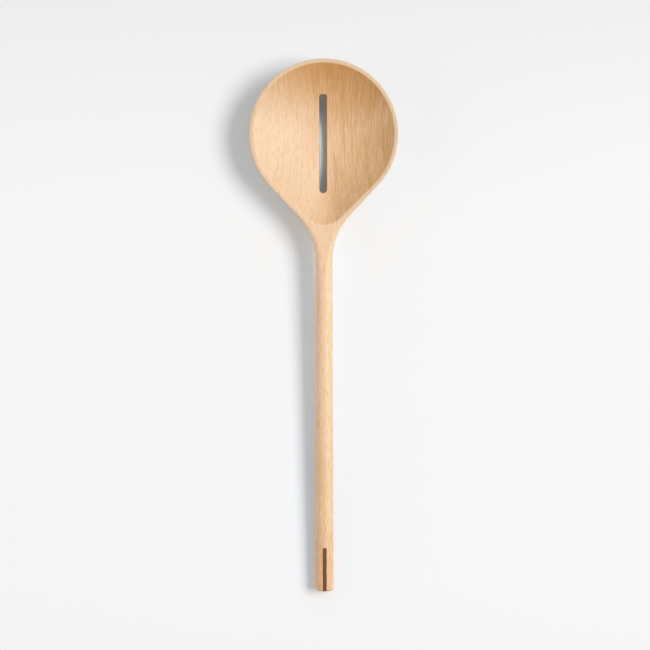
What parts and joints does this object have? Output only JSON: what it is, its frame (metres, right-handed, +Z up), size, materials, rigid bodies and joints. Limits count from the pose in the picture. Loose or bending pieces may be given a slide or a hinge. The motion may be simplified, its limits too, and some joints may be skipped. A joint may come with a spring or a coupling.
{
  "type": "slotted spoon",
  "caption": "Wooden cooking spoon with a round hollow bowl, a long drain slot through its floor, a slim round handle and a dark wood strip let into the handle's butt end.",
  "frame": {"origin": "middle of the footprint, on the surface that the spoon lies on", "axes": "+Y along the spoon from the butt end to the tip of the bowl, +Z up out of the bowl, +X across"},
  "size_m": [0.0892, 0.3198, 0.0211],
  "materials": {
    "beech": "oiled satin",
    "walnut": "oiled satin"
  },
  "bodies": {
    "root": {"spoon_body": "beech", "walnut_inlay": "walnut"}
  },
  "joints": []
}
